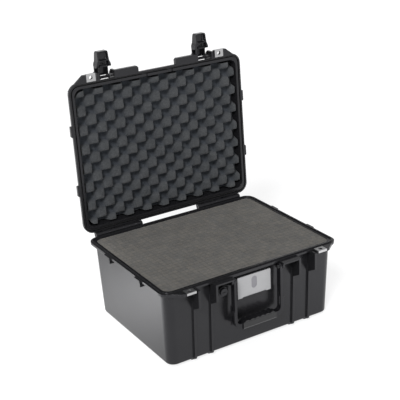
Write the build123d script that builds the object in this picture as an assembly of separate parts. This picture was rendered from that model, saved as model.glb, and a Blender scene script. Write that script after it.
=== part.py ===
from build123d import *
import math
import os

# A hard equipment case: deep base, shallow lid, two draw latches, one drop handle.
# Millimetres, +Z up. The front faces -Y, the hinge is at +Y, the origin is on the
# floor under the middle of the base. Every piece is drawn with the case shut and is
# then moved to the stored pose: lid open on its stop, latches swung clear of it.

# ---- driving dimensions -------------------------------------------------------
WIDTH = 480.0            # rim, along X
DEPTH = 374.0            # rim, along Y
RIM_Z = 194.0            # parting plane of the base
CORNER_R = 26.0          # rim corner radius
WALL = 3.6               # shell wall
FOOT_H = 5.0             # runner height under the base

BASE_FLANGE_H = 7.0      # rim flange of the base
LID_FLANGE_H = 8.5       # rim flange of the lid
BODY_INSET_X = 10.0      # flange overhang past the wall, each side
BODY_INSET_Y = 11.5
BASE_DRAFT = 6.2         # how far each base wall leans in, top to bottom
LID_HEIGHT = 52.0
LID_DRAFT = 9.0
PARTING_GAP = 0.4        # between the rims when shut

TONGUE_OFFSET = 5.0      # sealing tongue, in from the rim's outer edge
TONGUE_W = 2.4
TONGUE_H = 2.6
GROOVE_W = 4.0
GROOVE_DEPTH = 5.6
GASKET_D = 3.0

HINGE_Y = DEPTH / 2 + 8.0
HINGE_Z = RIM_Z + PARTING_GAP / 2
HINGE_R = 6.5            # knuckle barrel
HINGE_PIN_R = 2.5
HINGE_X0 = 83.0          # inner end of each hinge
KNUCKLE_W = 18.0
KNUCKLE_GAP = 0.5
KNUCKLES = 7
LID_OPEN_DEG = 93.0      # shut to open stop

FRONT_PROUD = 16.0       # guard fins and ledges stand this far past the rim
FIN_T = 5.5
FIN_X = (111.2, 156.6)   # inner face of each guard fin, from the centre line
FIN_DROP_FRONT = 45.0    # fin height below the rim, at its front edge
FIN_DROP_ROOT = 63.0     # and at the wall
RIB_PROUD = 5.0          # low rib that carries on below each fin
RUNNER_W = 13.0
RUNNER_INSET = 5.0

LATCH_X = (FIN_X[0] + FIN_T + FIN_X[1]) / 2
LATCH_PIVOT_Y = -DEPTH / 2
LATCH_PIVOT_H = 18.0     # pivot above the rim
LATCH_REACH = 62.0       # pivot to the end of the pull
LATCH_ARM_X = (10.5, 12.8)
LATCH_PLATE_X = 18.0     # half width of the outer plate that joins the arms
LATCH_PLATE_V = (12.5, 15.5)
LEVER_PIN_V = 5.0
LEVER_PIN_W = 33.0
LEVER_BARREL_R = 10.4    # round top of the lever, about its own pin
CLAW_W = 24.2            # claw bite, below the pivot
BAY_X = (FIN_X[0] + FIN_T + 0.2, FIN_X[1] - 0.2)
BAY_FLANGE_H = 5.0       # the base flange is thinner where the claw bites
LATCH_PIN_R = 2.0
LEVER_PIN_R = 1.6
LEVER_SWING = 30.0       # how far the pull lifts
RUN_CLEAR = 0.05         # radial clearance of every running pin

TAB_X = (164.5, 199.0)   # padlock tab
TAB_CHAMFER = (238.5, -172.0)
PLATE_X = (167.0, 191.0)
PLATE_T = 1.2
PLATE_LIP = 5.6          # depth of the lip that folds over the front edge
PADLOCK_X = 179.0
PADLOCK_Y = -195.0
PADLOCK_R = 4.75

HANDLE_Y = -192.0
HANDLE_Z = RIM_Z - 13.0
HANDLE_OUT_X = 66.4      # outer face of each arm
HANDLE_ARM_T = 6.2
HANDLE_ARM_D = 14.0
HANDLE_DROP = 122.5      # pivot to the underside of the grip
HANDLE_PIN_R = 2.5
LEDGE_X = (HANDLE_OUT_X + 1.2, FIN_X[0] + FIN_T)

CARD_Z = (124.0, 177.0)
CARD_W = 91.0
CARD_Y = -180.6
VALVE_X = -85.5
VALVE_Z = 158.0
VALVE_Y = -178.0

LUG_Y = 74.0             # centre of each side lug, fore and aft
LUG_L = 27.0
LUG_PROUD = 4.5
FOAM_GAP = 0.7

SIDES = {"left": -1, "right": 1}
FRONT = -DEPTH / 2
parts = {}


# ---- small helpers ------------------------------------------------------------
def box(x, y, z):
    """A box between two corners, each axis given as (low, high)."""
    size = [max(a) - min(a) for a in (x, y, z)]
    return Pos(*[(a[0] + a[1]) / 2 for a in (x, y, z)]) * Box(*size)


def slab(width, depth, radius, z0, z1, cx=0.0, cy=0.0):
    """A plate with rounded corners."""
    return extrude(Plane.XY.offset(z0) * Pos(cx, cy) * RectangleRounded(width, depth, radius), z1 - z0)


def taper_block(low, high, z0, z1):
    """A rounded block that changes size with height; low and high are (width, depth, radius)."""
    bottom = Plane.XY.offset(z0) * RectangleRounded(*low)
    top = Plane.XY.offset(z1) * RectangleRounded(*high)
    return loft([bottom, top], ruled=True)


def prism_x(points, x0, x1):
    """A (y, z) outline extruded from x0 to x1."""
    low, high = min(x0, x1), max(x0, x1)
    return extrude(Plane.YZ.offset(low) * make_face(Polyline(*points, close=True)), high - low)


def prism_z(points, z0, z1):
    """An (x, y) outline extruded from z0 to z1."""
    return extrude(Plane.XY.offset(z0) * make_face(Polyline(*points, close=True)), z1 - z0)


def rod_x(radius, x0, x1, y, z):
    low, high = min(x0, x1), max(x0, x1)
    return Plane.YZ.offset(low) * Pos(y, z) * extrude(Circle(radius), high - low)


def rod_y(radius, y0, y1, x, z):
    """A cylinder along Y, between y0 and y1."""
    return Pos(x, (y0 + y1) / 2, z) * Rot(90, 0, 0) * Cylinder(radius, abs(y1 - y0))


def rod_z(radius, z0, z1, x, y):
    return Pos(x, y, (z0 + z1) / 2) * Cylinder(radius, abs(z1 - z0))


def mirrored(shape, side):
    """The right-hand shape, or its mirror image for the left side."""
    return shape if side > 0 else mirror(shape, Plane.YZ)


def both(shape):
    return shape + mirror(shape, Plane.YZ)


def wall_half(z):
    """Half width and half depth of the base's outer wall at a height."""
    lean = BASE_DRAFT * (RIM_Z - BASE_FLANGE_H - z) / (RIM_Z - BASE_FLANGE_H - FOOT_H)
    return WIDTH / 2 - BODY_INSET_X - lean, DEPTH / 2 - BODY_INSET_Y - lean


def ring(offset, width, z0, z1):
    """A ring that follows the rim, offset in from its outer edge."""
    outer = slab(WIDTH - 2 * offset, DEPTH - 2 * offset, CORNER_R - offset, z0, z1)
    inset = offset + width
    return outer - slab(WIDTH - 2 * inset, DEPTH - 2 * inset, max(CORNER_R - inset, 2.0), z0 - 1, z1 + 1)


def tab_outline(grow=0.0):
    """The padlock tab's outline in plan, right-hand side."""
    y_front = FRONT - FRONT_PROUD + grow
    return [(TAB_X[0], FRONT + 8), (TAB_X[0], y_front), (TAB_X[1], y_front),
            TAB_CHAMFER, (232.0, -160.0), (222.0, -174.5)]


# ---- base ---------------------------------------------------------------------
def base_body():
    """The tub: drafted walls, rounded bottom edge, rim flange and cavity."""
    z_top = RIM_Z - BASE_FLANGE_H
    hx, hy = wall_half(z_top)
    lx, ly = wall_half(FOOT_H)
    body = taper_block((2 * lx, 2 * ly, 21), (2 * hx, 2 * hy, 22), FOOT_H, z_top)
    body = fillet(body.faces().sort_by(Axis.Z)[0].edges(), 5.0)
    flange = slab(WIDTH, DEPTH, CORNER_R, z_top, RIM_Z)
    flange = fillet(flange.faces().sort_by(Axis.Z)[0].edges(), 1.5)
    body = body + flange
    floor = FOOT_H + 4.0
    low = (2 * (lx - WALL), 2 * (ly - WALL), 17)
    high = (2 * (hx - WALL) + 0.4, 2 * (hy - WALL) + 0.4, 18)
    cavity = fillet(taper_block(low, high, floor, RIM_Z + 0.5).faces().sort_by(Axis.Z)[0].edges(), 4.0)
    return body - cavity


def guard_fin(x0):
    """One fin beside a latch, with the low rib below it and the runner under the case."""
    x1 = x0 + FIN_T
    front = FRONT - FRONT_PROUD
    top = RIM_Z - 3.0
    root_low = -wall_half(RIM_Z - FIN_DROP_ROOT)[1] + 2.0
    foot = -wall_half(FOOT_H)[1]
    fin = prism_x([(FRONT + 8, top), (front, top), (front, RIM_Z - FIN_DROP_FRONT),
                   (root_low, RIM_Z - FIN_DROP_ROOT)], x0, x1)
    fin = fillet(fin.edges().filter_by(Axis.X).group_by(Axis.Y)[0], 1.5)
    rib_top = RIM_Z - FIN_DROP_ROOT + 4.0
    rib = prism_x([(-wall_half(rib_top)[1] + 2, rib_top), (-wall_half(rib_top)[1] - RIB_PROUD, rib_top),
                   (foot - RIB_PROUD, FOOT_H + 2.5), (foot - RIB_PROUD + 2.5, FOOT_H), (foot + 6, FOOT_H),
                   (foot + 6, FOOT_H + 3), (foot + 2, FOOT_H + 8)], x0, x1)
    return fin + rib


def runner(x0):
    """A skid under the base, in line with a guard fin."""
    middle = x0 + FIN_T / 2
    reach = wall_half(FOOT_H)[1] - RUNNER_INSET
    skid = slab(RUNNER_W, 2 * reach, 5.0, 0, FOOT_H + 1.0, cx=middle)
    return fillet(skid.faces().sort_by(Axis.Z)[0].edges(), 1.5)


def handle_ledge():
    """The shelf from the guard fin to the handle, with the ear under it that holds the handle pin."""
    front = FRONT - FRONT_PROUD
    top = RIM_Z - 3.0
    shelf = box((LEDGE_X[0], LEDGE_X[1]), (front, FRONT + 8), (top - 4.0, top))
    ear_low = HANDLE_Z - 7.0
    ear = prism_x([(FRONT + 8, top), (front + 3, top), (front + 3, ear_low + 5), (front + 7, ear_low),
                   (-wall_half(ear_low)[1] + 2, ear_low - 6)], LEDGE_X[0], LEDGE_X[0] + 4.5)
    return shelf + ear


def padlock_tab(z0, z1):
    tab = prism_z(tab_outline(), z0, z1)
    return fillet(tab.edges().filter_by(Axis.Z).group_by(Axis.Y)[0], 3.0)


def side_lugs(z0, z1):
    """Two alignment lugs on each side of a rim."""
    lugs = None
    for y in (-LUG_Y, LUG_Y):
        lug = slab(12.0, LUG_L, 2.0, z0, z1, cx=WIDTH / 2 + LUG_PROUD - 6.0, cy=y)
        lugs = lug if lugs is None else lugs + lug
    return both(lugs)


def knuckle_spans(own):
    """The (x0, x1) of the knuckles on one leaf: own is 0 for the base, 1 for the lid."""
    pitch = KNUCKLE_W + KNUCKLE_GAP
    return [(HINGE_X0 + i * pitch, HINGE_X0 + i * pitch + KNUCKLE_W) for i in range(own, KNUCKLES, 2)]


def knuckle_web(x0, x1, up):
    """The wedge from a flange's edge out to the hinge line."""
    near, far = HINGE_Z + up * 1.0, HINGE_Z + up * HINGE_R
    flange_top = HINGE_Z + up * (LID_FLANGE_H if up > 0 else BASE_FLANGE_H)
    outline = [(DEPTH / 2 - 3, near), (HINGE_Y, near), (HINGE_Y, far)]
    outline = outline + [(DEPTH / 2 + 1, flange_top), (DEPTH / 2 - 3, flange_top)]
    return prism_x(outline, x0, x1)


def knuckle_cover(x0, x1, up):
    """A hollowed wedge beside the other leaf's knuckle, which closes the gap in front of it."""
    return knuckle_web(x0, x1, up) - rod_x(HINGE_R + 0.5, x0 - 1, x1 + 1, HINGE_Y, HINGE_Z)


def knuckle(x0, x1, up):
    """One hinge knuckle and its web; up is +1 on the lid and -1 on the base."""
    barrel = rod_x(HINGE_R, x0, x1, HINGE_Y, HINGE_Z)
    web = knuckle_web(x0, x1, up)
    gusset_z = HINGE_Z + up * 26.0
    wall_y = DEPTH / 2 - BODY_INSET_Y - 2.5
    gusset = prism_x([(wall_y, HINGE_Z + up * 4.0), (DEPTH / 2 - 1, HINGE_Z + up * 4.0), (wall_y, gusset_z)],
                     x0 + 5.5, x1 - 5.5)
    return barrel + web + gusset


def base_shell():
    shell = base_body()
    for x0 in FIN_X:
        shell = shell + both(guard_fin(x0)) + both(runner(x0))
    shell = shell + both(handle_ledge())
    shell = shell + both(padlock_tab(RIM_Z - BASE_FLANGE_H, RIM_Z))
    shell = shell + side_lugs(RIM_Z - BASE_FLANGE_H, RIM_Z - 0.6)
    ribs = None
    for y in (-LUG_Y - LUG_L / 2 + 2.5, LUG_Y - LUG_L / 2 + 2.5):
        rib = box((WIDTH / 2 - 11.0, WIDTH / 2 + 3.0), (y - 0.9, y + 0.9), (RIM_Z - 17.0, RIM_Z - 5.0))
        ribs = rib if ribs is None else ribs + rib
    shell = shell + both(ribs)
    for x0, x1 in knuckle_spans(0):
        shell = shell + both(knuckle(x0, x1, -1))
    for x0, x1 in knuckle_spans(1):
        shell = shell + both(knuckle_cover(x0, x1, -1))
    # Sealing tongue, two locating nubs, and the flat pads for valve, card holder and floor.
    shell = shell + ring(TONGUE_OFFSET, TONGUE_W, RIM_Z - 1.0, RIM_Z + TONGUE_H)
    nub = box((30.0, 41.0), (-179.0, -175.2), (RIM_Z - 3.0, RIM_Z + TONGUE_H))
    shell = shell + both(nub)
    wall_mid = -wall_half(150)[1] + 1.5
    shell = shell + rod_y(16.0, VALVE_Y, wall_mid, VALVE_X, VALVE_Z)
    shell = shell + rod_y(12.5, wall_mid, -wall_half(VALVE_Z)[1] + WALL + 0.6, VALVE_X, VALVE_Z)
    shell = shell + box((-49.0, 49.0), (CARD_Y + 3.0, wall_mid), (CARD_Z[0] - 3.0, CARD_Z[1] + 2.0))
    shell = shell + slab(150.0, 110.0, 12.0, 0.0, FOOT_H + 1.0)
    # Holes: padlock, plate seat, handle pin, hinge pin, valve stem.
    seat_z = RIM_Z - PLATE_T - 0.05
    front = FRONT - FRONT_PROUD
    seat = box((PLATE_X[0] - 0.15, PLATE_X[1] + 0.15), (front - 2, -185.0), (seat_z, RIM_Z + 1))
    cut = seat + rod_z(PADLOCK_R, RIM_Z - 12, RIM_Z + 4, PADLOCK_X, PADLOCK_Y)
    cut = cut + rod_x(HANDLE_PIN_R + RUN_CLEAR, LEDGE_X[0] - 1, LEDGE_X[0] + 3.7, HANDLE_Y, HANDLE_Z)
    bay = (RIM_Z - BASE_FLANGE_H - 1, RIM_Z - BAY_FLANGE_H)
    cut = cut + box(BAY_X, (FRONT - 3, -wall_half(bay[0])[1] - 2.0), bay)
    cut = cut + rod_x(HINGE_PIN_R + RUN_CLEAR, HINGE_X0 - 2, HINGE_X0 + 140, HINGE_Y, HINGE_Z)
    shell = shell - both(cut)
    return shell - rod_y(6.2, VALVE_Y - 3, wall_mid + 8, VALVE_X, VALVE_Z)


def padlock_plate(z_face, up):
    """Bent steel plate over a padlock tab, right-hand side; up is +1 where its lip points up."""
    front = FRONT - FRONT_PROUD
    z_in = z_face + up * PLATE_T
    top = box(PLATE_X, (front - PLATE_T, -185.3), (min(z_face, z_in), max(z_face, z_in)))
    z_lip = z_face + up * PLATE_LIP
    lip = box(PLATE_X, (front - PLATE_T, front - 0.02), (min(z_face, z_lip), max(z_face, z_lip)))
    plate = top + lip
    hole = rod_z(PADLOCK_R, z_face - 4, z_face + 4, PADLOCK_X, PADLOCK_Y)
    return plate - hole


def valve_body():
    flange = rod_y(12.5, VALVE_Y - 2.2 - 3.0, VALVE_Y - 2.2, VALVE_X, VALVE_Z)
    flange = fillet(flange.faces().sort_by(Axis.Y)[0].edges(), 1.0)
    stem = rod_y(6.0, VALVE_Y - 3.0, -wall_half(VALVE_Z)[1] + WALL + 7.0, VALVE_X, VALVE_Z)
    body = flange + stem
    return body - rod_y(2.4, VALVE_Y - 3.4, VALVE_Y + 40, VALVE_X, VALVE_Z)


def valve_knob():
    """Turning knob with grip scallops round its edge."""
    y0 = VALVE_Y - 5.25
    knob = rod_y(9.5, y0 - 4.0, y0, VALVE_X, VALVE_Z)
    knob = fillet(knob.faces().sort_by(Axis.Y)[0].edges(), 0.8)
    cuts = None
    scallops = 12
    for i in range(scallops):
        angle = 2 * math.pi * i / scallops
        x, z = VALVE_X + 10.2 * math.cos(angle), VALVE_Z + 10.2 * math.sin(angle)
        cut = rod_y(1.4, y0 - 5.0, y0 - 1.0, x, z)
        cuts = cut if cuts is None else cuts + cut
    slot = box((VALVE_X - 5.0, VALVE_X + 5.0), (y0 - 5.0, y0 - 3.0), (VALVE_Z - 1.0, VALVE_Z + 1.0))
    return knob - cuts - slot


def valve_oring():
    section = 1.05
    loop = Torus(9.2, section)
    return Pos(VALVE_X, VALVE_Y - 1.1, VALVE_Z) * Rot(90, 0, 0) * loop


def valve_nut():
    """Hexagon nut inside the wall, on its own flat seat."""
    y_seat = -wall_half(VALVE_Z)[1] + WALL + 0.6
    hexagon = Plane.XZ.offset(-y_seat - 4.42) * Pos(VALVE_X, VALVE_Z) * RegularPolygon(11.0, 6)
    nut = extrude(hexagon, 4.4)
    return nut - rod_y(6.05, y_seat - 2, y_seat + 12, VALVE_X, VALVE_Z)


def card_holder():
    """Black tray with side rails and a lip under the card."""
    y0, y1 = CARD_Y + 3.0, CARD_Y + 1.9
    half = CARD_W / 2
    back = box((-half - 1.8, half + 1.8), (y1, y0), (CARD_Z[0] - 2.4, CARD_Z[1] + 1.0))
    rails = both(box((half + 0.3, half + 1.8), (CARD_Y - 0.6, y1), (CARD_Z[0] - 2.4, CARD_Z[1] + 1.0)))
    lip = box((-32.0, 32.0), (CARD_Y - 1.1, y1), (CARD_Z[0] - 2.4, CARD_Z[0] - 0.3))
    hook = box((-32.0, 32.0), (CARD_Y - 1.1, CARD_Y - 0.3), (CARD_Z[0] - 2.4, CARD_Z[0] + 1.8))
    return back + rails + lip + hook


def card_plate():
    """Light cover plate with an upright oval thumb slot."""
    z_mid = (CARD_Z[0] + CARD_Z[1]) / 2
    outline = RectangleRounded(CARD_W, CARD_Z[1] - CARD_Z[0], 2.0)
    face = Plane.XZ.offset(-CARD_Y - 1.8) * Pos(0, z_mid) * outline
    plate = extrude(face, 1.8)
    slot = Plane.XZ.offset(-CARD_Y - 0.9) * Pos(0, z_mid + 5.5) * SlotOverall(30.0, 15.0, rotation=90)
    return plate - extrude(slot, 3.0)


def foam_block(z0, z1, gap=FOAM_GAP):
    """A foam block that fills the tapered cavity between two heights."""
    sizes = []
    for z in (z0, z1):
        hx, hy = wall_half(z)
        sizes.append((2 * (hx - WALL - gap), 2 * (hy - WALL - gap), 16))
    return taper_block(sizes[0], sizes[1], z0, z1)


def base_foam():
    relief = rod_y(14.0, -wall_half(VALVE_Z)[1] + 1, -wall_half(VALVE_Z)[1] + WALL + 12.0, VALVE_X, VALVE_Z)
    pad = foam_block(FOOT_H + 4.4, 24.0, gap=3.5)
    lower = foam_block(24.3, 108.0) - relief
    upper = foam_block(108.3, RIM_Z - 1.0) - relief
    return pad, lower, upper


# ---- handle -------------------------------------------------------------------
def handle_frame():
    """U-shaped bail, hanging: two slim arms that turn into an I-section, and the grip core."""
    y0, y1 = HANDLE_Y - HANDLE_ARM_D / 2, HANDLE_Y + HANDLE_ARM_D / 2
    low = HANDLE_Z - HANDLE_DROP
    core_top = low + 13.0
    web_top = low + 60.0
    x_out, x_in = HANDLE_OUT_X, HANDLE_OUT_X - HANDLE_ARM_T
    outline = [(x_in, HANDLE_Z), (x_out, HANDLE_Z), (x_out, low), (0, low), (0, core_top), (x_in, core_top)]
    half = extrude(Plane.XZ.offset(-y1) * make_face(Polyline(*outline, close=True)), y1 - y0)
    corners = half.edges().filter_by(Axis.Y)
    half = fillet(corners.sort_by(lambda e: e.center().X - e.center().Z)[-1:], 20.0)
    inner = half.edges().filter_by(Axis.Y).sort_by_distance((x_in, HANDLE_Y, core_top))[:1]
    half = fillet(inner, 9.0)
    arm_top = rod_x(HANDLE_ARM_D / 2, x_in, x_out, HANDLE_Y, HANDLE_Z)
    # Lower arm: a wide flange at the back, a wider strip at the front, pockets between them.
    back = box((x_in, x_out + 3.2), (y1 - 3.0, y1), (low + 8.0, web_top + 2))
    back = chamfer(back.edges().filter_by(Axis.Y).group_by(Axis.X)[-1], 3.0)
    strip = box((x_in, x_out + 1.8), (y0, y0 + 3), (low + 20, low + 48))
    outer = box((x_out - 2.6, x_out + 3), (y0 + 3.0, y1 - 3.0), (low + 20.0, web_top - 2))
    inner = box((x_in - 3, x_in + 1.6), (y0 + 3.0, y1 - 3.0), (low + 28.0, web_top - 2))
    slot = box((x_in - 1, x_out + 1), (y0 + 4.5, y1 - 4.5), (low + 20.0, low + 46.0))
    half = half + arm_top + back + strip - outer - inner - slot
    return both(half) - both(rod_x(HANDLE_PIN_R + RUN_CLEAR, x_in - 1, x_out + 1, HANDLE_Y, HANDLE_Z))


def handle_grip():
    """Soft sleeve round the grip, with finger ripples along its top."""
    low = HANDLE_Z - HANDLE_DROP
    half_l = 46.0
    sleeve = box((-half_l, half_l), (HANDLE_Y - 10.0, HANDLE_Y + 10.0), (low - 2.5, low + 15.4))
    sleeve = fillet(sleeve.edges().filter_by(Axis.X).group_by(Axis.Z)[0], 5.0)
    sleeve = fillet(sleeve.edges().filter_by(Axis.X).group_by(Axis.Z)[-1], 2.0)
    core = box((-60, 60), (HANDLE_Y - HANDLE_ARM_D / 2 - 0.02, HANDLE_Y + HANDLE_ARM_D / 2 + 0.02),
               (low - 0.02, low + 13.02))
    ripple_r = 9.0
    count = 6
    for i in range(count):
        x = (i - (count - 1) / 2) * 14.0
        sleeve = sleeve + rod_y(ripple_r, HANDLE_Y - 9.6, HANDLE_Y + 9.6, x, low + 9.8)
    return sleeve - core


def handle_pin(side):
    """Headed pin, pressed into the ear from the inner side of the arm."""
    inner = HANDLE_OUT_X - HANDLE_ARM_T
    pin = rod_x(HANDLE_PIN_R, inner - 1.0, LEDGE_X[0] + 3.5, HANDLE_Y, HANDLE_Z)
    head = rod_x(4.2, inner - 2.2, inner - 0.5, HANDLE_Y, HANDLE_Z)
    return mirrored(pin + head, side)


# ---- lid, drawn shut: h is the height above the lid's own rim plane --------------
def lid_z(h):
    return RIM_Z + PARTING_GAP + h


def lid_body():
    z0, z1, z2 = lid_z(0), lid_z(LID_FLANGE_H), lid_z(LID_HEIGHT)
    wide = (WIDTH - 2 * BODY_INSET_X, DEPTH - 2 * BODY_INSET_Y, 22)
    narrow = (wide[0] - 2 * LID_DRAFT, wide[1] - 2 * LID_DRAFT, 20)
    body = taper_block(wide, narrow, z1, z2)
    body = fillet(body.faces().sort_by(Axis.Z)[-1].edges(), 9.0)
    flange = slab(WIDTH, DEPTH, CORNER_R, z0, z1)
    flange = fillet(flange.faces().sort_by(Axis.Z)[-1].edges(), 1.5)
    body = body + flange
    low = (wide[0] - 2 * WALL + 0.4, wide[1] - 2 * WALL + 0.4, 18)
    high = (narrow[0] - 2 * WALL, narrow[1] - 2 * WALL, 16)
    cavity = taper_block(low, high, z0 - 0.5, z2 - 4.0)
    return body - fillet(cavity.faces().sort_by(Axis.Z)[-1].edges(), 6.0)


def latch_cheek(x0):
    """One of the two lid cheeks that carry a latch pin."""
    h_top = 30.0
    wall_y = FRONT + BODY_INSET_Y
    face_y = FRONT - FRONT_PROUD + 1
    outline = [(FRONT + 8, lid_z(0)), (face_y, lid_z(0)), (face_y, lid_z(22.0))]
    outline = outline + [(FRONT - 6, lid_z(h_top)), (wall_y + 5.5, lid_z(h_top + 9))]
    return prism_x(outline, x0, x0 + FIN_T)


def lid_bumper():
    """The proud lip between the middle of the lid and each latch."""
    pad = box((52.0, FIN_X[0] + 1), (FRONT - FRONT_PROUD + 1, FRONT + 8), (lid_z(0), lid_z(10.0)))
    edges = pad.edges().filter_by(Axis.Z).group_by(Axis.Y)[0].sort_by(Axis.X)[:1]
    return chamfer(edges, 4.0)


def lid_shell():
    shell = lid_body()
    for x0 in FIN_X:
        shell = shell + both(latch_cheek(x0))
    shell = shell + both(lid_bumper())
    shell = shell + both(padlock_tab(lid_z(0), lid_z(LID_FLANGE_H)))
    shell = shell + side_lugs(lid_z(0.6), lid_z(LID_FLANGE_H))
    for x0, x1 in knuckle_spans(1):
        shell = shell + both(knuckle(x0, x1, 1))
    for x0, x1 in knuckle_spans(0):
        shell = shell + both(knuckle_cover(x0, x1, 1))
    # Stiffening ribs on top: three long pads that also locate a case stacked above.
    for y in (-92.0, 0.0, 92.0):
        pad = slab(330.0, 46.0, 12.0, lid_z(LID_HEIGHT - 1), lid_z(LID_HEIGHT + 2.5), cy=y)
        shell = shell + fillet(pad.faces().sort_by(Axis.Z)[-1].edges(), 2.0)
    shell = shell - ring(TONGUE_OFFSET - (GROOVE_W - TONGUE_W) / 2, GROOVE_W, lid_z(-1), lid_z(GROOVE_DEPTH))
    seat_z = lid_z(PLATE_T + 0.05)
    front = FRONT - FRONT_PROUD
    cut = box((PLATE_X[0] - 0.15, PLATE_X[1] + 0.15), (front - 2, -185.0), (lid_z(-1), seat_z))
    cut = cut + rod_z(PADLOCK_R, lid_z(-2), lid_z(14), PADLOCK_X, PADLOCK_Y)
    cut = cut + box((28.5, 42.5), (-180.5, -170.0), (lid_z(-1), lid_z(3.4)))
    cut = cut + box(BAY_X, (FRONT - 3, FRONT + 3), (lid_z(-1), lid_z(LID_FLANGE_H + 1)))
    cut = cut + rod_x(LATCH_PIN_R + RUN_CLEAR, FIN_X[0] - 3, FIN_X[1] + FIN_T + 2, LATCH_PIVOT_Y,
                      RIM_Z + LATCH_PIVOT_H)
    cut = cut + rod_x(HINGE_PIN_R + RUN_CLEAR, HINGE_X0 - 2, HINGE_X0 + 140, HINGE_Y, HINGE_Z)
    return shell - both(cut)


def lid_gasket():
    """Round rubber seal lying in the groove."""
    offset = TONGUE_OFFSET + TONGUE_W / 2
    h = GROOVE_DEPTH - GASKET_D / 2 - 0.02
    outline = RectangleRounded(WIDTH - 2 * offset, DEPTH - 2 * offset, CORNER_R - offset)
    path = Plane.XY.offset(lid_z(h)) * outline
    wire = path.face().outer_wire()
    start = wire @ 0
    section = Plane(origin=start, z_dir=wire % 0) * Circle(GASKET_D / 2)
    return sweep(section, path=wire)


def lid_foam():
    """Convoluted foam sheet, drawn here as a plain block of its full height."""
    wide = (WIDTH - 2 * BODY_INSET_X - 2 * WALL - 11.0, DEPTH - 2 * BODY_INSET_Y - 2 * WALL - 11.0, 13)
    narrow = (wide[0] - 2 * LID_DRAFT + 5.0, wide[1] - 2 * LID_DRAFT + 5.0, 11)
    return taper_block(wide, narrow, lid_z(1.0), lid_z(LID_HEIGHT - 4.3))


def lid_padlock_plate(side):
    return mirrored(padlock_plate(lid_z(0), 1), side)


# ---- latch: u is across it, v out of the front, w down from its pivot --------------
def latch_y(v):
    return LATCH_PIVOT_Y - v


def latch_z(w):
    return RIM_Z + LATCH_PIVOT_H - w


def latch_outline(points):
    return [(latch_y(v), latch_z(w)) for v, w in points]


def latch_box(u, v, w):
    """A box in the latch's own directions; u is given as (low, high) from the latch's middle."""
    x = (LATCH_X + u[0], LATCH_X + u[1])
    return box(x, (latch_y(v[0]), latch_y(v[1])), (latch_z(w[0]), latch_z(w[1])))


def latch_rod(radius, half, v, w, inner=0.0):
    """A cylinder across the latch, or two if it starts some way out from the middle."""
    y, z = latch_y(v), latch_z(w)
    if inner == 0.0:
        return rod_x(radius, LATCH_X - half, LATCH_X + half, y, z)
    near = rod_x(radius, LATCH_X - half, LATCH_X - inner, y, z)
    return near + rod_x(radius, LATCH_X + inner, LATCH_X + half, y, z)


def latch_prism(points, half, inner=0.0):
    """A (v, w) outline extruded across the latch, or as a pair that leaves the middle free."""
    outline = latch_outline(points)
    if inner == 0.0:
        return prism_x(outline, LATCH_X - half, LATCH_X + half)
    near = prism_x(outline, LATCH_X - half, LATCH_X - inner)
    return near + prism_x(outline, LATCH_X + inner, LATCH_X + half)


def latch_frame():
    """Two arms from the pivot to the lever pin, joined by a plate across their outer side."""
    pin_v, pin_w = LEVER_PIN_V, LEVER_PIN_W
    plate_v = LATCH_PLATE_V
    clear_w = pin_w - LEVER_BARREL_R
    # Each arm narrows inside the lever's barrel, so that the barrel's skin can turn past it.
    arm = [(-3.4, -3.0), (3.0, -3.5), (plate_v[0] + 0.5, 2.5), (plate_v[0] + 0.5, clear_w - 2.5)]
    arm = arm + [(pin_v + 1.9, clear_w - 0.5), (pin_v + 1.9, pin_w - 2.0), (pin_v, pin_w)]
    arm = arm + [(0.6, pin_w - 2.0), (0.6, 6.0), (-3.0, 3.4)]
    inner, outer = LATCH_ARM_X
    arms = latch_prism(arm, outer, inner) + latch_rod(4.6, outer, 0, 0, inner)
    arms = arms + latch_rod(4.8, outer, pin_v, pin_w, inner)
    plate = latch_box((-LATCH_PLATE_X, LATCH_PLATE_X), plate_v, (2.0, pin_w))
    plate = fillet(plate.edges().filter_by(Axis.Y).group_by(Axis.Z)[-1], 3.0)
    plate = plate - latch_rod(LEVER_BARREL_R + 0.5, LATCH_PLATE_X + 1, pin_v, pin_w)
    hub = latch_rod(3.6, inner + 0.5, 0, 0)
    frame = arms + plate + hub
    bores = latch_rod(LATCH_PIN_R + RUN_CLEAR, 25, 0, 0)
    bores = bores + latch_rod(LEVER_PIN_R + RUN_CLEAR, 25, pin_v, pin_w)
    return frame - bores


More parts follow.
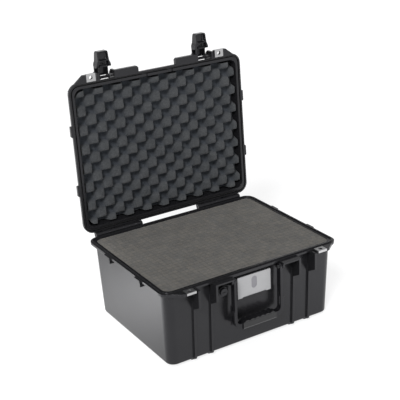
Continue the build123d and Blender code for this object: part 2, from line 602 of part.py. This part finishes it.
def latch_lever():
    """Pull lever: round-topped body with a dished thumb cap, and the claw between its side walls."""
    pin_v, pin_w = LEVER_PIN_V, LEVER_PIN_W
    reach = LATCH_REACH
    half = 19.2
    face_v = pin_v + LEVER_BARREL_R
    side = [(-5.5, 29.0), (-4.0, 24.4), (0.0, 24.0), (pin_v, 24.0), (pin_v, pin_w), (face_v, pin_w),
            (face_v, pin_w + 3.5),
            (face_v - 0.5, reach - 15), (11.6, reach), (-3.0, reach), (-5.5, reach - 22)]
    body = latch_prism(side, half) + latch_rod(LEVER_BARREL_R, half, pin_v, pin_w)
    # Seen from the front: wide shoulders, then a narrower pull with a rounded end.
    edge = [(half, 20.0), (half, 27.5), (17.8, 33.0), (15.3, 38.5), (14.5, 46.0)]
    edge = edge + [(14.3, reach - 4), (12.2, reach + 1)]
    plan = [(LATCH_X + u, latch_z(w)) for u, w in edge]
    plan = plan + [(LATCH_X - u, latch_z(w)) for u, w in reversed(edge)]
    mask = extrude(Plane.XZ.offset(-latch_y(-10)) * make_face(Polyline(*plan, close=True)), 40.0)
    body = body & mask
    tip = body.edges().filter_by(Axis.Y).group_by(Axis.Z)[0]
    body = fillet(tip, 2.0)
    # Hollow for the arms, the claw and the spring; the outer skin carries on over it.
    slot_in, slot_out = LATCH_ARM_X[0] - 0.35, LATCH_ARM_X[1] + 0.35
    body = body - latch_box((-slot_out, slot_out), (-8.0, face_v - 2.8), (20.0, pin_w + 5.2))
    dish = latch_box((-12.0, 12.0), (-9.0, 4.0), (pin_w + 7.0, reach - 2.6))
    dish = fillet(dish.edges().filter_by(Axis.Y), 5.0)
    dish = fillet(dish.faces().sort_by(Axis.Y)[0].edges(), 3.5)
    hook = [(9.0, 31.0), (3.0, CLAW_W), (-5.5, CLAW_W), (-5.5, CLAW_W + 1.8), (-3.5, CLAW_W + 4.3)]
    hook = hook + [(0.8, CLAW_W + 5.3), (1.0, pin_w + 5.7), (9.0, pin_w + 5.7)]
    claw = latch_prism(hook, slot_in)
    claw = claw + latch_rod(4.2, slot_in, pin_v, pin_w) - latch_rod(4.6, 5.2, pin_v, pin_w)
    lever = body - dish + claw
    return lever - latch_rod(LEVER_PIN_R + RUN_CLEAR, 25, pin_v, pin_w)


def latch_pin():
    pin = rod_x(LATCH_PIN_R, FIN_X[0] + 0.6, FIN_X[1] + FIN_T - 0.6, latch_y(0), latch_z(0))
    return pin


def lever_pin():
    return latch_rod(LEVER_PIN_R, 17.2, LEVER_PIN_V, LEVER_PIN_W)


def lever_spring():
    """Torsion spring round the lever pin."""
    wire_r, coil_r, length = 0.45, 2.9, 8.0
    helix = Helix(pitch=1.6, height=length, radius=coil_r)
    section = Plane(origin=helix @ 0, z_dir=helix % 0) * Circle(wire_r)
    coil = sweep(section, path=helix, is_frenet=True)
    return Pos(LATCH_X - length / 2, latch_y(LEVER_PIN_V), latch_z(LEVER_PIN_W)) * Rot(0, 90, 0) * coil


# ---- moving the pieces from shut to the stored pose -------------------------------
def turn_x(shape, y, z, degrees):
    """Turn a shape about the X-parallel axis through (y, z)."""
    return Pos(0, y, z) * Rot(degrees, 0, 0) * Pos(0, -y, -z) * shape


def open_lid(shape):
    return turn_x(shape, HINGE_Y, HINGE_Z, -LID_OPEN_DEG)


def open_latch(shape):
    return open_lid(turn_x(shape, latch_y(0), latch_z(0), -90.0))


def add(name, shape):
    """Record a node, as one solid where it is a single piece."""
    solids = shape.solids()
    parts[name] = solids[0] if len(solids) == 1 else Compound(children=list(solids))
    print(name, len(solids), "solid(s)", round(sum(s.volume for s in solids) / 1000, 2), "cm3")


def build_base():
    add("base_shell", base_shell())
    for name, side in SIDES.items():
        add(f"base_padlock_plate_{name}", mirrored(padlock_plate(RIM_Z, -1), side))
        hinge_pin = rod_x(HINGE_PIN_R, HINGE_X0 + 1, HINGE_X0 + 128, HINGE_Y, HINGE_Z)
        add(f"hinge_pin_{name}", mirrored(hinge_pin, side))
        add(f"handle_pin_{name}", handle_pin(side))
    add("purge_valve_body", valve_body())
    add("purge_valve_knob", valve_knob())
    add("purge_valve_oring", valve_oring())
    add("purge_valve_nut", valve_nut())
    add("card_holder", card_holder())
    add("card_plate", card_plate())
    pad, lower, upper = base_foam()
    add("base_foam_pad", pad)
    add("base_foam_lower", lower)
    add("base_foam_upper", upper)
    add("handle_frame", handle_frame())
    add("handle_grip", handle_grip())


def build_lid():
    add("lid_shell", open_lid(lid_shell()))
    add("lid_gasket", open_lid(lid_gasket()))
    add("lid_foam", open_lid(lid_foam()))
    frame, lever, spring = latch_frame(), latch_lever(), lever_spring()
    for name, side in SIDES.items():
        add(f"lid_padlock_plate_{name}", open_lid(lid_padlock_plate(side)))
        add(f"latch_pin_{name}", open_lid(mirrored(latch_pin(), side)))
        add(f"latch_frame_{name}", open_latch(mirrored(frame, side)))
        add(f"latch_lever_{name}", open_latch(mirrored(lever, side)))
        add(f"lever_pin_{name}", open_latch(mirrored(lever_pin(), side)))
        add(f"lever_spring_{name}", open_latch(mirrored(spring, side)))


def main():
    build_base()
    build_lid()
    os.makedirs("parts", exist_ok=True)
    for name, shape in parts.items():
        export_step(shape, f"parts/{name}.step")


main()
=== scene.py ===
import bpy
import math
import random
from mathutils import Matrix, Vector


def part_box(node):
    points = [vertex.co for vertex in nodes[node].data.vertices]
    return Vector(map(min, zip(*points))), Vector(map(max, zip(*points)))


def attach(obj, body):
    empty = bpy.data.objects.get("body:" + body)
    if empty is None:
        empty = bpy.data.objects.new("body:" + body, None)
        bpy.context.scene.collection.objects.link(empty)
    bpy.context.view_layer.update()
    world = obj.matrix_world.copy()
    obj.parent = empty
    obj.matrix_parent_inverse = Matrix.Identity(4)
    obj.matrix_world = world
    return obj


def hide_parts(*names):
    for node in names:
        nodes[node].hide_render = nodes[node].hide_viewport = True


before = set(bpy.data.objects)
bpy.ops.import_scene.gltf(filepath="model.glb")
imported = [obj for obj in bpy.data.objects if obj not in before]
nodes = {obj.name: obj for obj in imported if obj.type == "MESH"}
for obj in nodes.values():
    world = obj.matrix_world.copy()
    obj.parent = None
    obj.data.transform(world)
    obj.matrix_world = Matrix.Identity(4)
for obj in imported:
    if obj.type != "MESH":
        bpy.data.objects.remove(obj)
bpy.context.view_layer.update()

# Lengths are in metres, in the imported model's own frame.

# ---- camera -----------------------------------------------------------------------
CAMERA_AT = Vector((-1.1353, -1.8497, 1.1829))
CAMERA_TURN = math.radians(-30.96)
CAMERA_PITCH = math.radians(22.15)
CAMERA_ROLL = math.radians(-2.6)
CAMERA_LENS = 89.13

# ---- light ------------------------------------------------------------------------
KEY_DIRECTION = Vector((0.85, 0.75, -0.95))
KEY_STRENGTH = 2.6
KEY_ANGLE = math.radians(14)
DOME_STOPS = ((0.16, 1.0), (0.30, 0.5))         # height on the dome, and brightness there
DOME_STRENGTH = 1.08
FRONT_POOL = ((0.42, -0.62, 1.7), 26.0, 300.0)  # place, cone in degrees, power
SIDE_POOL = ((-0.50, 0.13, 0.5), 56.0, 120.0)
SPOT_RADIUS = 0.2
FLOOR_SIZE = 60.0
FLOOR_DROP = 0.0004                             # keeps it clear of the feet
FLOOR_COLOUR = (0.30, 0.30, 0.303, 1.0)
FLOOR_GLOW = 0.76

# ---- thumb slot in the card plate, with painted shade -------------------------------
SLOT_RISE = 0.0055  # its middle, above the middle of the plate
SLOT_HALF = 0.0075  # half the length of its straight sides
SLOT_RADIUS = 0.0074
# colour of the painted shade inside the slot
SLOT_SHADE = (0.19, 0.187, 0.203, 1.0)

# ---- foam -------------------------------------------------------------------------
CUBE = 0.0125                    # scored cubes of the base foam
SCORE_WIDTH = 0.0004
SCORE_DEPTH = 0.0006
CUBE_DROP = 0.0006               # how far the cubes' faces lie below the block's top
CUBE_CROWN = 0.00025
CUBE_LIFT = 0.0004               # most that one cube stands above another
CUBE_TILT = 0.0005
CUBE_POINTS = (0.22, 0.5, 0.78)  # mesh lines within a cube, as shares of its width
CRATE_PITCH = (0.0508, 0.0472)   # one peak and one hollow of the lid foam, across and along
CRATE_START = (0.0188, -0.0023)  # one peak's place, from the middle of the foam
CRATE_RELIEF = 0.021             # from the top of a peak to the bottom of a hollow
CRATE_STEEP = 2.6                # how square the peaks are
CRATE_STEP = 0.0015              # mesh spacing of the lid foam
CRATE_RIPPLE = 0.0006            # unevenness of the cut face
CRATE_DROP = 0.0007              # how far the peaks lie below the block's face
FOAM_CELL = 0.0011
FOAM_CORNER = 0.016
FOAM_SIDE_LEVELS = 6             # rows of faces down a foam block's sides
BASE_LEAN = 6.2 / 182.0          # how far the base walls lean in, for each unit of height
LID_FOAM_LEAN = 0.139            # how far the lid foam's sides lean in, for each unit of depth
LID_OPEN = math.radians(93.0)    # how far the lid stands open at rest


# ---- materials --------------------------------------------------------------------
MIX_A, MIX_B, MIX_RESULT = 6, 7, 2  # a Mix node's colour sockets, which share their names


class Nodes:
    """A small helper that adds and links shader nodes."""

    def __init__(self, name):
        self.material = bpy.data.materials.new(name)
        self.material.use_nodes = True
        self.tree = self.material.node_tree
        self.shader = self.tree.nodes["Principled BSDF"]

    def add(self, kind, **inputs):
        node = self.tree.nodes.new(kind)
        for key, value in inputs.items():
            node.inputs[key.replace("_", " ")].default_value = value
        return node

    def link(self, source, target):
        self.tree.links.new(source, target)

    def coords(self, scale=(1.0, 1.0, 1.0)):
        place = self.add("ShaderNodeTexCoord")
        mapping = self.add("ShaderNodeMapping", Scale=scale)
        self.link(place.outputs["Object"], mapping.inputs["Vector"])
        return mapping.outputs["Vector"]

    def noise(self, vector, scale, detail=4.0, roughness=0.55):
        node = self.add("ShaderNodeTexNoise", Scale=scale, Detail=detail, Roughness=roughness)
        self.link(vector, node.inputs["Vector"])
        return node.outputs["Fac"]

    def ramp(self, value, stops):
        node = self.add("ShaderNodeValToRGB")
        while len(node.color_ramp.elements) < len(stops):
            node.color_ramp.elements.new(0.5)
        for element, (position, colour) in zip(node.color_ramp.elements, stops):
            element.position = position
            element.color = (*colour, 1.0)
        self.link(value, node.inputs["Fac"])
        return node.outputs["Color"]

    def spread(self, value, low, high):
        """Remaps a 0 to 1 value to a range."""
        node = self.add("ShaderNodeMapRange")
        node.inputs["To Min"].default_value = low
        node.inputs["To Max"].default_value = high
        self.link(value, node.inputs["Value"])
        return node.outputs["Result"]

    def bump(self, height, strength, distance, normal=None):
        node = self.add("ShaderNodeBump", Strength=strength, Distance=distance)
        self.link(height, node.inputs["Height"])
        if normal is not None:
            self.link(normal, node.inputs["Normal"])
        return node.outputs["Normal"]

    def maths(self, operation, *values):
        """A Math node. Each value is a number or another node's output."""
        node = self.add("ShaderNodeMath")
        node.operation = operation
        for slot, value in enumerate(values):
            if isinstance(value, (int, float)):
                node.inputs[slot].default_value = value
            else:
                self.link(value, node.inputs[slot])
        return node.outputs["Value"]

    def mix_colour(self, blend):
        """A colour Mix node, as its sockets: the factor, the two colours and the result."""
        node = self.add("ShaderNodeMix")
        node.data_type = "RGBA"
        node.blend_type = blend
        return node.inputs["Factor"], node.inputs[MIX_A], node.inputs[MIX_B], node.outputs[MIX_RESULT]

    def round_edges(self, radius):
        node = self.add("ShaderNodeBevel", Radius=radius)
        node.samples = 6
        return node.outputs["Normal"]


def moulded_plastic(name, dark, light, roughness, grain, edge):
    """Polypropylene: fine moulded grain, slight cloudiness in colour and gloss, softened edges."""
    m = Nodes(name)
    where = m.coords()
    cloud = m.noise(where, 9.0, 3.0)
    m.link(m.ramp(cloud, [(0.35, dark), (0.7, light)]), m.shader.inputs["Base Color"])
    smear = m.noise(where, 38.0, 5.0, 0.6)
    m.link(m.spread(smear, *roughness), m.shader.inputs["Roughness"])
    m.shader.inputs["IOR"].default_value = 1.5
    m.shader.inputs["Specular IOR Level"].default_value = 0.36
    m.shader.inputs["Specular Tint"].default_value = (0.95, 0.95, 1.0, 1.0)
    fine = m.noise(where, 1500.0, 2.0)
    rounded = m.round_edges(edge)
    m.link(m.bump(fine, grain, 0.0001, rounded), m.shader.inputs["Normal"])
    return m.material


def steel(name, colour, roughness, streaks):
    """Sheet or turned steel with drawn streaks along one direction."""
    m = Nodes(name)
    where = m.coords(streaks)
    lines = m.noise(where, 60.0, 4.0, 0.7)
    low = tuple(c * 0.82 for c in colour)
    m.link(m.ramp(lines, [(0.3, low), (0.7, colour)]), m.shader.inputs["Base Color"])
    m.link(m.spread(lines, *roughness), m.shader.inputs["Roughness"])
    m.shader.inputs["Metallic"].default_value = 1.0
    rounded = m.round_edges(0.0004)
    m.link(m.bump(lines, 0.08, 0.0002, rounded), m.shader.inputs["Normal"])
    return m.material


def soft_rubber(name, colour, roughness):
    """Rubber: faint blotches in colour and gloss, over a fine grain."""
    m = Nodes(name)
    where = m.coords()
    cloud = m.noise(where, 60.0, 4.0)
    pale = tuple(c * 1.35 for c in colour)
    m.link(m.ramp(cloud, [(0.3, colour), (0.75, pale)]), m.shader.inputs["Base Color"])
    m.link(m.spread(cloud, *roughness), m.shader.inputs["Roughness"])
    fine = m.noise(where, 900.0, 3.0)
    m.link(m.bump(fine, 0.18, 0.0003), m.shader.inputs["Normal"])
    return m.material


def open_cell_foam(name, dark, light, bump, hollow_shade):
    """Polyurethane foam: pores, soft blotches, no gloss, and painted shade that darkens its hollows.
    """
    m = Nodes(name)
    where = m.coords()
    pores = m.add("ShaderNodeTexVoronoi", Scale=1.0 / FOAM_CELL)
    m.link(where, pores.inputs["Vector"])
    fine = m.noise(where, 300.0, 5.0, 0.8)
    blotch = m.noise(where, 24.0, 4.0, 0.6)
    mixed = m.maths("MULTIPLY_ADD", fine, 0.55, m.spread(blotch, 0.12, 0.34))
    tone = m.ramp(mixed, [(0.40, dark), (0.60, light)])
    # Painted shade: the colour is darkened and turned bluer where the face lies low, in the hollows
    # and score lines.
    relief = m.add("ShaderNodeAttribute")
    relief.attribute_name = "relief"
    hollow_shade_colour = (hollow_shade, hollow_shade * 1.06, hollow_shade * 1.16)
    shade = m.ramp(relief.outputs["Fac"], [(0.1, hollow_shade_colour), (0.95, (1.0, 0.98, 0.95))])
    factor, first, second, shaded_tone = m.mix_colour("MULTIPLY")
    factor.default_value = 1.0
    m.link(tone, first)
    m.link(shade, second)
    m.link(shaded_tone, m.shader.inputs["Base Color"])
    m.shader.inputs["Roughness"].default_value = 0.95
    m.shader.inputs["Specular IOR Level"].default_value = 0.15
    m.shader.inputs["Sheen Weight"].default_value = 0.12
    m.shader.inputs["Sheen Roughness"].default_value = 0.6
    rough = m.maths("ADD", fine, pores.outputs["Distance"])
    m.link(m.bump(rough, bump, 0.0006), m.shader.inputs["Normal"])
    return m.material


def satin_card(name):
    """Light satin plate with faint mottling, and painted shade filling its upright thumb slot."""
    m = Nodes(name)
    where = m.coords()
    cloud = m.noise(where, 30.0, 4.0)
    tone = m.ramp(cloud, [(0.3, (0.31, 0.31, 0.318)), (0.7, (0.335, 0.335, 0.343))])
    low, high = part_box("card_plate")
    axes = m.add("ShaderNodeSeparateXYZ")
    m.link(where, axes.inputs["Vector"])
    aside = m.maths("SUBTRACT", axes.outputs["X"], (low.x + high.x) / 2)
    above = m.maths("SUBTRACT", axes.outputs["Z"], (low.z + high.z) / 2 + SLOT_RISE)
    past_end = m.maths("SUBTRACT", m.maths("ABSOLUTE", above), SLOT_HALF)
    beyond = m.maths("MAXIMUM", past_end, 0.0)
    squares = m.maths("ADD", m.maths("POWER", aside, 2.0), m.maths("POWER", beyond, 2.0))
    inside = m.maths("LESS_THAN", m.maths("SQRT", squares), SLOT_RADIUS)
    # Painted shade: inside the slot's outline the plate takes a darker colour.
    factor, first, second, shaded_slot = m.mix_colour("MIX")
    m.link(inside, factor)
    m.link(tone, first)
    second.default_value = SLOT_SHADE
    m.link(shaded_slot, m.shader.inputs["Base Color"])
    m.link(m.spread(cloud, 0.3, 0.42), m.shader.inputs["Roughness"])
    fine = m.noise(where, 1200.0, 2.0)
    rounded = m.round_edges(0.0005)
    m.link(m.bump(fine, 0.05, 0.0001, rounded), m.shader.inputs["Normal"])
    return m.material


MATERIALS = {
    "case": moulded_plastic("case_plastic", (0.0075, 0.0075, 0.0085), (0.0105, 0.0105, 0.0115),
                            (0.2, 0.3), 0.10, 0.0011),
    "trim": moulded_plastic("trim_plastic", (0.005, 0.005, 0.006), (0.008, 0.008, 0.009),
                            (0.14, 0.24), 0.06, 0.0008),
    "plate": steel("plate_steel", (0.46, 0.46, 0.465), (0.22, 0.36), (1.0, 6.0, 6.0)),
    # The pins take a darker copy of the plate steel: painted shade for pins that sit in shadow in the
    # hinges, handle and latches.
    "pin": steel("pin_steel_shaded", (0.16, 0.16, 0.165), (0.35, 0.5), (6.0, 1.0, 1.0)),
    "rubber": soft_rubber("rubber", (0.018, 0.018, 0.019), (0.55, 0.7)),
    "grip": soft_rubber("grip_rubber", (0.006, 0.006, 0.007), (0.14, 0.24)),
    "card": satin_card("card"),
    # The foams' last number is how dark the painted shade in their hollows is.
    "lid_foam": open_cell_foam("lid_foam_grey", (0.021, 0.024, 0.028), (0.060, 0.064, 0.069),
                               0.7, 0.74),
    "base_foam": open_cell_foam("base_foam_grey", (0.062, 0.0585, 0.053), (0.125, 0.118, 0.106),
                                0.6, 0.6),
}

# Which material each CAD node takes, by the start of its name.
LOOKS = {
    "plate": ("base_padlock_plate", "lid_padlock_plate"),
    "pin": ("hinge_pin", "handle_pin", "latch_pin", "lever_pin", "lever_spring"),
    "rubber": ("purge_valve_oring", "lid_gasket"),
    "grip": ("handle_grip",),
    "trim": ("purge_valve_body", "purge_valve_knob", "purge_valve_nut", "card_holder", "handle_frame",
             "latch_frame", "latch_lever"),
    "card": ("card_plate",),
    "case": ("base_shell", "lid_shell"),
}


def dress_cad_nodes():
    for look, starts in LOOKS.items():
        for name, piece in nodes.items():
            if name.startswith(starts):
                piece.data.materials.clear()
                piece.data.materials.append(MATERIALS[look])


# ---- foam pieces ------------------------------------------------------------------
def into_outline(x, y, half_x, half_y, corner):
    """The point itself, or the nearest point of a rounded rectangle if it lies outside."""
    x = max(-half_x, min(half_x, x))
    y = max(-half_y, min(half_y, y))
    cx, cy = half_x - corner, half_y - corner
    dx, dy = abs(x) - cx, abs(y) - cy
    if dx > 0 and dy > 0:
        reach = math.hypot(dx, dy)
        if reach > corner:
            x = math.copysign(cx + dx * corner / reach, x)
            y = math.copysign(cy + dy * corner / reach, y)
    return x, y


def foam_piece(name, xs, ys, low_half, top_half, height, depth, material):
    """A foam block as one closed mesh.

    Its face is a grid with a height for each point, its sides lean from top_half to low_half,
    and its underside is flat, depth below the face. Its local origin is the middle of the face.
    """
    columns, rows = len(xs), len(ys)
    verts, faces = [], []
    for y in ys:
        for x in xs:
            px, py = into_outline(x, y, top_half[0], top_half[1], FOAM_CORNER)
            verts.append((px, py, height(x, y)))
    for j in range(rows - 1):
        for i in range(columns - 1):
            a = j * columns + i
            faces.append((a, a + 1, a + 1 + columns, a + columns))
    border = list(range(columns))
    border += [j * columns + columns - 1 for j in range(1, rows)]
    border += [(rows - 1) * columns + i for i in range(columns - 2, -1, -1)]
    border += [j * columns for j in range(rows - 2, 0, -1)]
    above = border
    for level in range(1, FOAM_SIDE_LEVELS + 1):
        share = level / FOAM_SIDE_LEVELS
        ring = []
        for index in border:
            x, y, z = verts[index]
            lean_x = 1 + (low_half[0] / top_half[0] - 1) * share
            lean_y = 1 + (low_half[1] / top_half[1] - 1) * share
            ring.append(len(verts))
            verts.append((x * lean_x, y * lean_y, z - (depth + z) * share))
        for k, index in enumerate(ring):
            after = (k + 1) % len(ring)
            faces.append((above[k], ring[k], ring[after], above[after]))
        above = ring
    faces.append(tuple(reversed(above)))
    mesh = bpy.data.meshes.new(name)
    mesh.from_pydata(verts, [], faces)
    mesh.update()
    # Height share of each point, 1 at the top of the face and 0 at its deepest and below; the foam
    # material paints shade from it.
    relief = mesh.attributes.new("relief", "FLOAT", "POINT")
    deepest = min(v[2] for v in verts[:columns * rows])
    relief.data.foreach_set("value", [max(0.0, 1 - v[2] / deepest) for v in verts])
    mesh.materials.append(material)
    piece = bpy.data.objects.new(name, mesh)
    bpy.context.scene.collection.objects.link(piece)
    return piece


def cube_lines(half):
    """Mesh lines along one direction: three across each score, and three within each cube."""
    count = int(half // CUBE)
    margin = half - count * CUBE
    lines = [-half, -half + margin * 0.5]
    for i in range(-count, count + 1):
        centre = i * CUBE
        lines += [centre - SCORE_WIDTH, centre, centre + SCORE_WIDTH]
        if i < count:
            lines += [centre + CUBE * share for share in CUBE_POINTS]
    lines += [half - margin * 0.5, half]
    return sorted(set(lines))


def scored_height(seed):
    """Cubes at slightly different heights with a score line between them."""
    rng = random.Random(seed)
    lift = {}

    def height(x, y):
        fx, fy = x / CUBE, y / CUBE
        near_x = abs(fx - round(fx)) * CUBE
        near_y = abs(fy - round(fy)) * CUBE
        score = SCORE_WIDTH * 0.5
        if near_x < score or near_y < score:
            return -SCORE_DEPTH
        cell = (math.floor(fx), math.floor(fy))
        if cell not in lift:
            lift[cell] = (rng.random(), rng.random() - 0.5, rng.random() - 0.5)
        up, tilt_x, tilt_y = lift[cell]
        u, v = fx - cell[0] - 0.5, fy - cell[1] - 0.5
        crown = CUBE_CROWN * (1 - 4 * max(u * u, v * v))
        return -CUBE_DROP + CUBE_LIFT * up + CUBE_TILT * (tilt_x * u + tilt_y * v) + crown

    return height


def base_foam(name, node, material, seed):
    """A pluck-foam layer that fills its CAD block."""
    low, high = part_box(node)
    half = ((high.x - low.x) / 2, (high.y - low.y) / 2)
    depth = high.z - low.z
    lean = depth * BASE_LEAN
    low_half = (half[0] - lean, half[1] - lean)
    piece = foam_piece(name, cube_lines(half[0]), cube_lines(half[1]), low_half, half,
                       scored_height(seed), depth, material)
    piece.location = ((low.x + high.x) / 2, (low.y + high.y) / 2, high.z)
    return piece


def squared(wave):
    """A cosine drawn towards its ends, so that the cells of the foam come out square."""
    return math.tanh(CRATE_STEEP * wave) / math.tanh(CRATE_STEEP)


def crate_height(x, y):
    """Egg-crate face: rounded square peaks and hollows in a chequer, close to 0 at the peaks."""
    across = 2 * math.pi * (x - CRATE_START[0]) / CRATE_PITCH[0]
    along = 2 * math.pi * (y - CRATE_START[1]) / CRATE_PITCH[1]
    shaped = squared(math.cos(across)) * squared(math.cos(along))
    ripple = CRATE_RIPPLE * math.sin(1.45 * across + 1.7 * math.sin(0.8 * along))
    return -CRATE_RELIEF * (0.5 - 0.5 * shaped) + ripple - CRATE_DROP


def crate_lines(half):
    count = round(2 * half / CRATE_STEP)
    return [-half + 2 * half * i / count for i in range(count + 1)]


def finish_foam(piece, body, *stands_for):
    """Puts a foam piece's place into its mesh, and says what it is to the frame."""
    bpy.context.view_layer.update()
    piece.data.transform(piece.matrix_world)
    piece.matrix_world = Matrix.Identity(4)
    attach(piece, body)
    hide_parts(*stands_for)


def make_base_foam():
    layers = [("base_foam_scored", "base_foam_upper", 11), ("base_foam_second", "base_foam_lower", 12),
              ("base_foam_floor", "base_foam_pad", 13)]
    for name, node, seed in layers:
        finish_foam(base_foam(name, node, MATERIALS["base_foam"], seed), "base", node)


def lid_place():
    """The turn that shuts the lid, and the foam block's lowest and highest corners in that turn."""
    verts = [v.co for v in nodes["lid_foam"].data.vertices]
    turn = Matrix.Rotation(LID_OPEN, 3, "X")
    flat = [turn @ v for v in verts]
    low = Vector([min(v[k] for v in flat) for k in range(3)])
    high = Vector([max(v[k] for v in flat) for k in range(3)])
    return turn, low, high


def make_lid_foam():
    turn, low, high = lid_place()
    half = ((high.x - low.x) / 2, (high.y - low.y) / 2)
    depth = high.z - low.z
    lean = depth * LID_FOAM_LEAN
    low_half = (half[0] - lean, half[1] - lean)
    piece = foam_piece("lid_foam_convoluted", crate_lines(half[0]), crate_lines(half[1]), low_half,
                       half, crate_height, depth, MATERIALS["lid_foam"])
    for face in piece.data.polygons:
        face.use_smooth = True
    middle = Vector(((low.x + high.x) / 2, (low.y + high.y) / 2, low.z))
    flip = Matrix.Rotation(math.pi, 4, "X")
    piece.matrix_world = turn.inverted().to_4x4() @ Matrix.Translation(middle) @ flip
    finish_foam(piece, "lid", "lid_foam")


# ---- stage ------------------------------------------------------------------------
def make_floor():
    bpy.ops.mesh.primitive_plane_add(size=FLOOR_SIZE, location=(0, 0, -FLOOR_DROP))
    floor = bpy.context.object
    floor.name = "floor"
    m = Nodes("pale_floor")
    m.shader.inputs["Base Color"].default_value = FLOOR_COLOUR
    m.shader.inputs["Emission Color"].default_value = (1.0, 1.0, 1.0, 1.0)
    m.shader.inputs["Emission Strength"].default_value = FLOOR_GLOW
    m.shader.inputs["Roughness"].default_value = 0.9
    m.shader.inputs["Specular IOR Level"].default_value = 0.1
    floor.data.materials.append(m.material)


def floor_spot(name, at, width, power):
    """A lamp that looks straight down and brightens a patch of floor beside the case."""
    light = bpy.data.lights.new(name, "SPOT")
    light.spot_size = math.radians(width)
    light.spot_blend = 1.0
    light.shadow_soft_size = SPOT_RADIUS
    light.energy = power
    lamp = bpy.data.objects.new(name, light)
    bpy.context.scene.collection.objects.link(lamp)
    lamp.location = at
    lamp.visible_camera = False
    lamp.visible_glossy = False


def make_light():
    world = bpy.data.worlds.new("studio")
    bpy.context.scene.world = world
    world.use_nodes = True
    tree = world.node_tree
    background = tree.nodes["Background"]
    # The dome is as bright as the floor low down, so that no horizon shows, and softer above.
    place = tree.nodes.new("ShaderNodeTexCoord")
    axes = tree.nodes.new("ShaderNodeSeparateXYZ")
    tree.links.new(place.outputs["Generated"], axes.inputs["Vector"])
    dome = tree.nodes.new("ShaderNodeValToRGB")
    tree.links.new(axes.outputs["Z"], dome.inputs["Fac"])
    for element, (position, level) in zip(dome.color_ramp.elements, DOME_STOPS):
        element.position = position
        element.color = (level, level, level, 1.0)
    tree.links.new(dome.outputs["Color"], background.inputs["Color"])
    background.inputs["Strength"].default_value = DOME_STRENGTH
    sun = bpy.data.lights.new("key", "SUN")
    sun.energy = KEY_STRENGTH
    sun.angle = KEY_ANGLE
    lamp = bpy.data.objects.new("key", sun)
    bpy.context.scene.collection.objects.link(lamp)
    lamp.rotation_mode = "QUATERNION"
    lamp.rotation_quaternion = KEY_DIRECTION.to_track_quat("-Z", "Y")
    floor_spot("front_pool", *FRONT_POOL)
    floor_spot("side_pool", *SIDE_POOL)
    bpy.context.scene.view_settings.view_transform = "Standard"


def make_camera():
    data = bpy.data.cameras.new("camera")
    data.sensor_width = 36.0
    data.lens = CAMERA_LENS
    data.clip_end = 100.0
    camera = bpy.data.objects.new("camera", data)
    bpy.context.scene.collection.objects.link(camera)
    forward = Vector((-math.sin(CAMERA_TURN) * math.cos(CAMERA_PITCH),
                      math.cos(CAMERA_TURN) * math.cos(CAMERA_PITCH), -math.sin(CAMERA_PITCH)))
    right = forward.cross(Vector((0, 0, 1))).normalized()
    up = right.cross(forward)
    turned_right = math.cos(CAMERA_ROLL) * right + math.sin(CAMERA_ROLL) * up
    turned_up = math.cos(CAMERA_ROLL) * up - math.sin(CAMERA_ROLL) * right
    pose = Matrix((turned_right, turned_up, -forward)).transposed().to_4x4()
    pose.translation = CAMERA_AT
    camera.matrix_world = pose
    bpy.context.scene.camera = camera


make_camera()
dress_cad_nodes()
make_base_foam()
make_lid_foam()
make_floor()
make_light()
